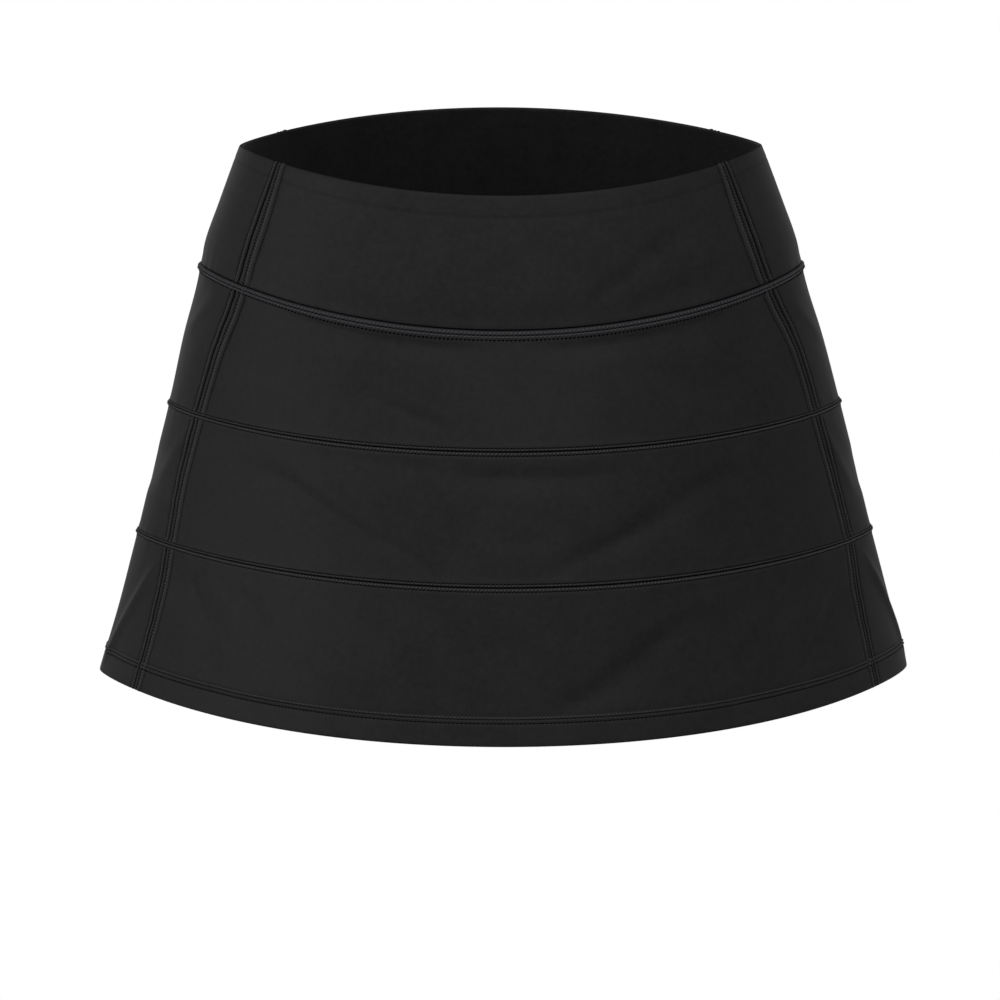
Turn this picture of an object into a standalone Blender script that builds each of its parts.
"""Tennis skort in its worn form: a double yoke over three flared tiers, with plain inner shorts.

Metres, +Z up. The front faces -Y and the wearer's left is +X. The origin is the centre of the waist
opening, level with the top edge at the sides, where the wearer's hips hold the garment.

A place on the skirt is (level, angle). The level runs from 0 at the waist edge, through 1, 2 and 3 at
the seams between the tiers, to 4 at the hem. The angle is 0 at centre front, 90 degrees at the
wearer's left side and 180 at centre back, and runs on to 360.
"""

import math

import bmesh
import bpy
from mathutils import Vector

MM = 0.001

# Walls are built from their plain inner face outwards.
YOKE_WALL = 2.0 * MM
TIER_WALL = 1.2 * MM
SHORTS_WALL = 1.0 * MM
THICKEST_WALL = 3.0 * MM
SEAM_GAP = 0.3 * MM
SHORTS_EASE = 0.9 * MM

# The outer cloth at each section of the skirt, in millimetres. Side, front and back are heights and
# shift is sideways. Roundness is 1 on an ellipse and less where the sides run to a tighter bend, and
# flatness widens the middle of the front and the back.
SECTION_COLUMNS = (
    "level", "side", "front", "back", "half_width", "shift",
    "front_depth", "back_depth", "roundness", "flatness",
)
SECTIONS = {
    "waist_edge": (0.0, 0.0, -20.0, 14.0, 147.0, -1.0, 98.0, 104.0, 0.78, 0.15),
    "below_elastic": (0.1, -6.5, -27.0, 6.2, 149.6, -0.9, 99.5, 107.0, 0.79, 0.15),
    "yoke_middle": (0.5, -33.0, -55.5, -24.0, 159.5, -0.8, 106.0, 117.5, 0.80, 0.14),
    "yoke_low": (0.8, -53.2, -77.8, -46.8, 166.9, -0.8, 110.3, 125.5, 0.81, 0.13),
    "yoke_seam": (1.0, -66.4, -92.5, -62.0, 169.6, -0.6, 112.0, 130.0, 0.81, 0.13),
    "tier1_upper": (1.2, -82.2, -105.3, -77.6, 173.4, -0.3, 115.6, 136.0, 0.78, 0.13),
    "tier1_middle": (1.5, -105.8, -124.3, -101.0, 180.6, 0.3, 121.2, 142.0, 0.70, 0.12),
    "seam_2": (2.0, -145.0, -156.5, -140.5, 190.3, 1.3, 131.5, 148.5, 0.58, 0.11),
    "tier2_middle": (2.5, -181.8, -191.9, -178.5, 199.8, 1.4, 140.7, 155.0, 0.50, 0.08),
    "seam_3": (3.0, -218.5, -227.8, -216.0, 209.1, 1.4, 149.8, 160.5, 0.43, 0.08),
    "tier3_middle": (3.5, -258.8, -269.5, -257.5, 219.8, 1.4, 158.6, 166.8, 0.37, 0.16),
    "hem_edge": (4.0, -299.5, -311.4, -300.0, 231.4, 0.9, 167.0, 173.0, 0.33, 0.24),
}

# Where the long seams cross each line, in degrees from centre front towards their own side. The two
# back ones mirror each other. The front ones do not quite, as the garment is worn a little turned.
PRINCESS_COLUMNS = ("level", "front_left", "front_right", "back_seam")
PRINCESS = {
    "waist_edge": (0.0, 56.5, 58.0, 121.0),
    "yoke_middle": (0.5, 58.0, 59.0, 119.8),
    "yoke_low": (0.8, 58.9, 59.6, 119.0),
    "yoke_seam": (1.0, 60.3, 60.4, 118.5),
    "tier1_upper": (1.3, 63.3, 62.4, 117.4),
    "tier1_low": (1.65, 65.4, 64.3, 115.9),
    "seam_2": (2.0, 66.1, 65.8, 114.5),
    "tier2_middle": (2.5, 67.3, 66.6, 113.1),
    "seam_3": (3.0, 67.8, 65.5, 112.0),
    "tier3_middle": (3.5, 65.7, 64.8, 112.8),
    "hem_edge": (4.0, 65.0, 65.0, 114.5),
}

# How the cloth stands up along each kind of edge, where turned cloth and sewing make it thicker: its
# height there, the width of that strip, and where it is back to one cloth, in millimetres.
EDGE_COLUMNS = ("height", "width", "end")
EDGES = {
    "waist_edge": (0.3, 1.2, 3.0),
    "above_seam": (0.3, 3.6, 5.2),
    "below_yoke_seam": (1.4, 7.0, 9.0),
    "below_seam": (0.7, 3.6, 5.2),
    "long_seam": (0.5, 6.5, 8.5),
    "hem": (0.5, 14.5, 16.0),
}

# The largest folds. Each is a soft ridge, or a trough where its height is negative, from one place to
# another and a little past it. Its height and half width are in millimetres.
FOLD_COLUMNS = ("from_level", "from_angle", "to_level", "to_angle", "height", "half_width")
FOLDS = {
    "left_side_flare": (3.06, 71.0, 3.84, 90.0, 1.1, 5.0),
    "right_side_flare": (3.04, 294.6, 3.82, 278.0, 1.1, 5.0),
    "left_back_flare": (3.04, 110.5, 3.84, 97.0, 1.4, 6.0),
    "right_back_flare": (3.04, 249.5, 3.80, 262.0, 1.3, 6.0),
    "left_drag": (2.14, 40.0, 2.82, 10.0, -0.9, 14.0),
    "right_drag": (2.14, 313.5, 2.80, 343.0, -0.8, 13.0),
    "left_hem_drape": (3.08, 56.5, 3.80, 36.0, -1.2, 12.0),
    "middle_hem_drape": (3.17, 29.2, 3.72, 10.0, -0.9, 13.0),
    "right_hem_drape": (3.06, 301.0, 3.75, 314.0, -1.1, 11.0),
    "back_drag": (2.05, 141.0, 2.75, 163.0, -1.2, 16.0),
    "back_hem_drape": (3.10, 232.0, 3.90, 221.0, -1.4, 14.0),
}
FOLD_RISE = 0.35  # the share of its length over which a fold rises
FOLD_END = 1.3  # where it has died away, past its second place
FOLD_FALL = 0.4  # the share of its length over which it dies away
FOLD_REACH = 40.0  # degrees on either side that it can touch

# Panels: each tier's top and bottom edges, and how many plain strips lie across each face.
TIERS = {
    "yoke": ("waist_edge", "above_seam"),
    "tier1": ("below_yoke_seam", "above_seam"),
    "tier2": ("below_seam", "above_seam"),
    "tier3": ("below_seam", "hem"),
}
FACES = {"front": 16, "left": 8, "back": 16, "right": 8}
ROW_STRIPS = 5

# Steps over which directions and lengths along the cloth are measured.
ANGLE_STEP = 0.5
LEVEL_STEP = 0.01

# Inner shorts. The hips are sections of the inner face, in millimetres, down to where the legs fork.
# Above the belly the shorts run out to the yoke seam, which holds them.
HIPS_COLUMNS = ("level", "height", "half_width", "front_depth", "back_depth", "roundness")
HIPS = {
    "belly": (0.0, -108.0, 167.5, 109.0, 130.0, 0.80),
    "hips": (0.5, -138.0, 171.5, 109.5, 135.5, 0.82),
    "fork_top": (1.0, -168.0, 172.0, 108.0, 135.0, 0.86),
}
BELLY_LEVEL = 0.25
FORK_HEIGHT = -246.0 * MM
FORK_SIDE_HEIGHT = -234.0 * MM
SHORTS_HEM_HEIGHT = -284.0 * MM
SHORTS_HEM_RAISE = 0.6 * MM
LEG_CENTRE_Y = 8.0 * MM
LEG_HALF_WIDTH = 83.0 * MM
LEG_HALF_DEPTH = 92.0 * MM
LEG_TAPER = 3.0 * MM
LEGS_APART = 1.4 * MM
SHORTS_COLUMNS = 27
HIP_ROWS = 6
FORK_ROWS = 6
LEG_ROWS = 2


def clear_scene():
    for obj in list(bpy.data.objects):
        bpy.data.objects.remove(obj)


def black_knit(name, grey, roughness):
    """A matt knitted cloth: one Principled BSDF with a little sheen."""
    material = bpy.data.materials.new(name)
    material.use_nodes = True
    shader = material.node_tree.nodes["Principled BSDF"]
    shader.inputs["Base Color"].default_value = (grey, grey, grey, 1.0)
    shader.inputs["Roughness"].default_value = roughness
    shader.inputs["Metallic"].default_value = 0.0
    shader.inputs["Sheen Weight"].default_value = 0.3
    return material


def smooth_step(t):
    t = min(1.0, max(0.0, t))
    return t * t * (3 - 2 * t)


def size_at(table, columns, level):
    """Every column of a table at a level, on a smooth curve through its rows."""
    rows = [dict(zip(columns, row)) for row in table.values()]
    last = len(rows) - 2
    k = next((i for i in range(last) if level < rows[i + 1]["level"]), last)
    near, far = rows[k], rows[k + 1]
    before, after = rows[max(k - 1, 0)], rows[min(k + 2, last + 1)]
    span = far["level"] - near["level"]
    t = (level - near["level"]) / span
    size = {}
    for column in columns:
        leaving = span * (far[column] - before[column]) / (far["level"] - before["level"])
        arriving = span * (after[column] - near[column]) / (after["level"] - near["level"])
        ends = near[column] * (1 - smooth_step(t)) + far[column] * smooth_step(t)
        size[column] = ends + leaving * t * (1 - t) ** 2 - arriving * t**2 * (1 - t)
    return size


def skirt_plain(level, angle, inset):
    """A point of the skirt's cloth before its folds, moved in by inset."""
    size = size_at(SECTIONS, SECTION_COLUMNS, level)
    sine, cosine = math.sin(math.radians(angle)), math.cos(math.radians(angle))
    end = "front" if cosine > 0 else "back"
    bend = size["roundness"] + (1 - size["roundness"] + size["flatness"] * sine**2) * abs(cosine)
    x = (size["half_width"] * MM - inset) * sine + size["shift"] * MM
    y = -(size[end + "_depth"] * MM - inset) * cosine * bend
    z = size["side"] + (size[end] - size["side"]) * cosine**2
    return Vector((x, y, z * MM))


def outward(level, angle):
    """The level direction that points straight out of the skirt."""
    along = skirt_plain(level, angle + ANGLE_STEP, 0) - skirt_plain(level, angle - ANGLE_STEP, 0)
    return Vector((along.y, -along.x, 0)).normalized()


def fold_height(level, angle):
    """How far the folds stand the cloth out."""
    height = 0.0
    here = skirt_plain(level, angle, 0)
    for row in FOLDS.values():
        fold = dict(zip(FOLD_COLUMNS, row))
        t = (level - fold["from_level"]) / (fold["to_level"] - fold["from_level"])
        ridge_angle = fold["from_angle"] + t * (fold["to_angle"] - fold["from_angle"])
        if 0 < t < FOLD_END and abs((angle - ridge_angle + 180) % 360 - 180) < FOLD_REACH:
            across = (here - skirt_plain(level, ridge_angle, 0)).length / (fold["half_width"] * MM)
            fade = smooth_step(t / FOLD_RISE) * smooth_step((FOLD_END - t) / FOLD_FALL)
            height += fold["height"] * MM * fade * math.exp(-across * across)
    return height


def skirt_point(level, angle, inset):
    return skirt_plain(level, angle, inset) + outward(level, angle) * fold_height(level, angle)


def panel_ends(face, level):
    """The angles at which a panel starts and ends at a level: those of its two long seams."""
    seam = size_at(PRINCESS, PRINCESS_COLUMNS, level)
    left, right, back = seam["front_left"], seam["front_right"], seam["back_seam"]
    return {
        "front": (-right, left),
        "left": (left, back),
        "back": (back, 360 - back),
        "right": (360 - back, 360 - right),
    }[face]


def edge_raise(edge, distance):
    """How far the cloth stands up at a distance from an edge."""
    size = dict(zip(EDGE_COLUMNS, EDGES[edge]))
    fall = (size["end"] * MM - distance) / ((size["end"] - size["width"]) * MM)
    return size["height"] * MM * smooth_step(fall)


def edge_marks(edge):
    """Distances from a panel's edge at which its relief changes."""
    size = dict(zip(EDGE_COLUMNS, EDGES[edge]))
    return (0.0, size["width"] * MM, size["end"] * MM)


def spaced(start, end, start_rate, end_rate, start_edge, end_edge, strips):
    """Places from start to end of a panel, with the distance of each from the start and the end.

    A rate is the metres of cloth for each unit of the place, next to that end.
    """
    near = [start + (SEAM_GAP / 2 + mark) / start_rate for mark in edge_marks(start_edge)]
    far = [end - (SEAM_GAP / 2 + mark) / end_rate for mark in reversed(edge_marks(end_edge))]
    between = [near[-1] + (far[0] - near[-1]) * i / strips for i in range(1, strips)]
    places = near + between + far
    return [(place, (place - start) * start_rate, (end - place) * end_rate) for place in places]


def wall_from_grid(name, grid, material):
    """A cloth wall: grid holds rows of (inner point, thickness), and the wall grows outwards from it.

    Rows run down, and the points of a row run to the right as seen from outside.
    """
    rows, columns = len(grid), len(grid[0])
    bm = bmesh.new()
    bmesh.ops.create_grid(bm, x_segments=columns - 1, y_segments=rows - 1, size=0.5)
    weights = bm.verts.layers.deform.verify()
    for vert in bm.verts:
        column = round((vert.co.x + 0.5) * (columns - 1))
        row = round((0.5 - vert.co.y) * (rows - 1))
        vert.co, thickness = grid[row][column]
        vert[weights][0] = thickness / THICKEST_WALL
    mesh = bpy.data.meshes.new(name)
    bm.to_mesh(mesh)
    bm.free()
    mesh.materials.append(material)
    mesh.shade_smooth()
    obj = bpy.data.objects.new(name, mesh)
    obj.vertex_groups.new(name="thickness")
    wall = obj.modifiers.new("wall", "SOLIDIFY")
    wall.thickness = THICKEST_WALL
    wall.offset = 1.0
    wall.vertex_group = "thickness"
    return obj


def skirt_panel(tier, face, material):
    """One cut panel of the yoke or of a tier, between two long seams and two lines."""
    top = list(TIERS).index(tier)
    bottom = top + 1
    wall = YOKE_WALL if tier == "yoke" else TIER_WALL
    top_edge, bottom_edge = TIERS[tier]

    def down_rate(level):
        middle = sum(panel_ends(face, level)) / 2
        above = skirt_plain(level - LEVEL_STEP, middle, wall)
        below = skirt_plain(level + LEVEL_STEP, middle, wall)
        return (above - below).length / (2 * LEVEL_STEP)

    def across_rate(level, angle):
        before = skirt_plain(level, angle - ANGLE_STEP, wall)
        after = skirt_plain(level, angle + ANGLE_STEP, wall)
        return (before - after).length / (2 * ANGLE_STEP)

    grid = []
    rates = down_rate(top), down_rate(bottom)
    levels = spaced(top, bottom, *rates, top_edge, bottom_edge, ROW_STRIPS)
    for level, from_top, from_bottom in levels:
        ends = panel_ends(face, level)
        rates = across_rate(level, ends[0]), across_rate(level, ends[1])
        angles = spaced(*ends, *rates, "long_seam", "long_seam", FACES[face])
        row = []
        for angle, from_first, from_last in angles:
            stands_up = max(
                edge_raise(top_edge, from_top),
                edge_raise(bottom_edge, from_bottom),
                edge_raise("long_seam", min(from_first, from_last)),
            )
            row.append((skirt_point(level, angle, wall), wall + stands_up))
        grid.append(row)
    return wall_from_grid(f"{tier}_{face}", grid, material)


def shorts_shift():
    """How far the shorts' centre seam lies off centre: as far as the yoke seam that holds it."""
    return size_at(SECTIONS, SECTION_COLUMNS, 1.0)["shift"] * MM


def hips_point(level, angle):
    """The inner face of the shorts above the fork, from just under the yoke seam to the fork's top."""
    top = skirt_point(1.0, angle, TIER_WALL + SHORTS_EASE + SHORTS_WALL)
    top.x -= shorts_shift()
    top.z -= SEAM_GAP / 2
    size = size_at(HIPS, HIPS_COLUMNS, max(0.0, (level - BELLY_LEVEL) / (1 - BELLY_LEVEL)))
    sine, cosine = math.sin(math.radians(angle)), math.cos(math.radians(angle))
    end = "front" if cosine > 0 else "back"
    bend = size["roundness"] + (1 - size["roundness"]) * abs(cosine)
    body = Vector((size["half_width"] * sine, -size[end + "_depth"] * cosine * bend, 0)) * MM
    point = top.lerp(body, smooth_step(level / BELLY_LEVEL))
    fork_top = HIPS["fork_top"][HIPS_COLUMNS.index("height")] * MM
    point.z = top.z + (fork_top - top.z) * level
    return point


def leg_point(angle, taper):
    """The inner face of the left leg, on the flat: from its inner seam round the front and back again."""
    turn = math.radians(2 * angle)
    half_width = LEG_HALF_WIDTH - taper
    x = LEGS_APART + LEG_HALF_WIDTH - half_width * math.cos(turn)
    return Vector((x, LEG_CENTRE_Y - (LEG_HALF_DEPTH - taper) * math.sin(turn), 0))


def shorts_rows():
    """The rows of the left leg's panel, each as a function from an angle to a point of its inner face."""

    def hip_row(level):
        return lambda angle: hips_point(level, angle)

    def fork_height(angle):
        at_centre = math.cos(math.radians(angle)) ** 2
        return FORK_SIDE_HEIGHT + (FORK_HEIGHT - FORK_SIDE_HEIGHT) * at_centre

    def fork_row(turn):
        def point_at(angle):
            hips = hips_point(1.0, angle)
            point = hips.lerp(leg_point(angle, 0), 1 - math.cos(turn))
            point.z = hips.z + (fork_height(angle) - hips.z) * math.sin(turn)
            return point
        return point_at

    def leg_row(level):
        def point_at(angle):
            point = leg_point(angle, LEG_TAPER * level)
            point.z = fork_height(angle) + (SHORTS_HEM_HEIGHT - fork_height(angle)) * level
            return point
        return point_at

    rows = [hip_row(i / HIP_ROWS) for i in range(HIP_ROWS + 1)]
    rows += [fork_row(math.pi / 2 * i / FORK_ROWS) for i in range(1, FORK_ROWS + 1)]
    rows += [leg_row(i / LEG_ROWS) for i in range(1, LEG_ROWS + 1)]
    return rows


def shorts_leg(name, side, material):
    """One leg of the inner shorts, cut in one piece: its two edges meet on the inside of the leg."""
    seam_share = SEAM_GAP / (2 * math.pi * LEG_HALF_WIDTH)
    rows = shorts_rows()
    grid = []
    for number, point_at in enumerate(rows):
        thickness = SHORTS_WALL + (SHORTS_HEM_RAISE if number == len(rows) - 1 else 0.0)
        row = []
        for i in range(SHORTS_COLUMNS):
            share = seam_share + (1 - 2 * seam_share) * i / (SHORTS_COLUMNS - 1)
            point = point_at(180 * share)
            point.x = shorts_shift() + side * (point.x + SEAM_GAP / 2)
            row.append((point, thickness))
        grid.append(row if side > 0 else row[::-1])
    return wall_from_grid(name, grid, material)


def main():
    clear_scene()
    collection = bpy.data.collections.new("tennis_skort")
    bpy.context.scene.collection.children.link(collection)
    knits = {
        "yoke": black_knit("yoke_double_knit", 0.020, 0.75),
        "tier": black_knit("tier_double_knit", 0.018, 0.75),
        "shorts": black_knit("shorts_knit", 0.016, 0.80),
    }
    for tier in TIERS:
        for face in FACES:
            collection.objects.link(skirt_panel(tier, face, knits[tier.strip("123")]))
    collection.objects.link(shorts_leg("shorts_left", 1, knits["shorts"]))
    collection.objects.link(shorts_leg("shorts_right", -1, knits["shorts"]))


main()
